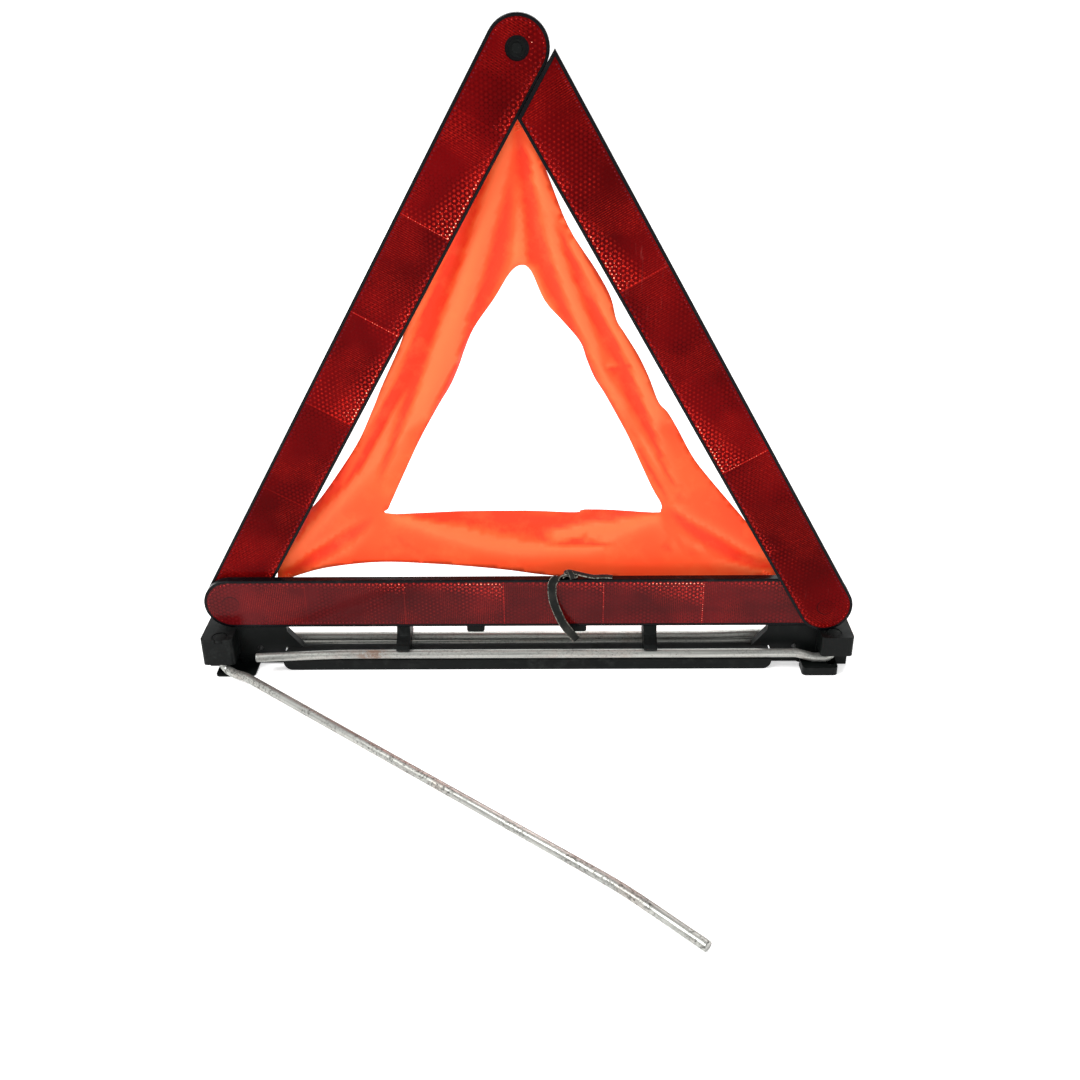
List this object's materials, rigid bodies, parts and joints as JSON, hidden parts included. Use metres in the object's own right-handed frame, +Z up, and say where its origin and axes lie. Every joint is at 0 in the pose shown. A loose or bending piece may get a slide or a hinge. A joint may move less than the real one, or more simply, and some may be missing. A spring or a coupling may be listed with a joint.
{
  "type": "warning triangle",
  "caption": "Folding roadside warning triangle: hinged red reflector arms, orange cloth and a stand with swing-out wire legs.",
  "frame": {"origin": "on the ground, under the middle of the stand's rail", "axes": "+X along the bottom arm to its right end, +Y away from the reflecting face, +Z up"},
  "size_m": [0.439, 0.287, 0.4124],
  "materials": {
    "black_plastic": "satin moulded ABS, lightly scuffed",
    "housing_plastic": "glossy black ABS",
    "red_reflector": "red acrylic with moulded prisms",
    "rivet_metal": "zinc-plated steel",
    "zinc_wire": "dull zinc plating with pits and light rust",
    "orange_cloth": "fluorescent coated nylon",
    "strap_rubber": "dull elastic tape"
  },
  "bodies": {
    "stand": {"base_rail": "black_plastic", "left_end_bracket": "black_plastic", "right_end_bracket": "black_plastic", "bottom_arm_housing": "housing_plastic", "bottom_arm_reflector": "red_reflector", "left_pivot_rivet": "rivet_metal", "right_pivot_rivet": "rivet_metal", "bracket_screws": "rivet_metal", "left_rod_clip": "black_plastic", "right_rod_clip": "black_plastic", "left_rest_lug": "black_plastic", "right_rest_lug": "black_plastic", "warning_cloth": "orange_cloth", "cloth_tie_left": "orange_cloth", "cloth_tie_right": "orange_cloth", "storage_strap": "strap_rubber", "strap_knot": "strap_rubber"},
    "left_arm": {"left_arm_housing": "housing_plastic", "left_arm_reflector": "red_reflector", "top_stud": "black_plastic", "cloth_tie_top": "orange_cloth"},
    "right_arm": {"right_arm_housing": "housing_plastic", "right_arm_reflector": "red_reflector"},
    "front_left_leg": {"front_left_leg": "zinc_wire", "front_left_retaining_cap": "black_plastic"},
    "front_right_leg": {"front_right_leg": "zinc_wire", "front_right_retaining_cap": "black_plastic"},
    "rear_left_leg": {"rear_left_leg": "zinc_wire", "rear_left_retaining_cap": "black_plastic"},
    "rear_right_leg": {"rear_right_leg": "zinc_wire", "rear_right_retaining_cap": "black_plastic"}
  },
  "joints": [
    {"name": "left_arm_fold", "type": "hinge", "parent": "stand", "child": "left_arm", "pos_m": [-0.2, 0.0066, 0.048], "axis": [0, 1, 0.0095], "range_deg": [0, 60], "deforming": ["warning_cloth"]},
    {"name": "right_arm_fold", "type": "hinge", "parent": "stand", "child": "right_arm", "pos_m": [0.2, -0.0066, 0.048], "axis": [0, 1, -0.0095], "range_deg": [-60, 0], "deforming": ["storage_strap"]},
    {"name": "front_left_leg_swing", "type": "hinge", "parent": "stand", "child": "front_left_leg", "pos_m": [-0.207, -0.0145, 0], "axis": [0, 0, 1], "range_deg": [-51, 39]},
    {"name": "front_right_leg_swing", "type": "hinge", "parent": "stand", "child": "front_right_leg", "pos_m": [0.207, -0.0116, 0], "axis": [0, 0, 1], "range_deg": [0, 90]},
    {"name": "rear_left_leg_swing", "type": "hinge", "parent": "stand", "child": "rear_left_leg", "pos_m": [-0.207, 0.0116, 0], "axis": [0, 0, 1], "range_deg": [0, 90]},
    {"name": "rear_right_leg_swing", "type": "hinge", "parent": "stand", "child": "rear_right_leg", "pos_m": [0.207, 0.0145, 0], "axis": [0, 0, 1], "range_deg": [-90, 0]}
  ]
}
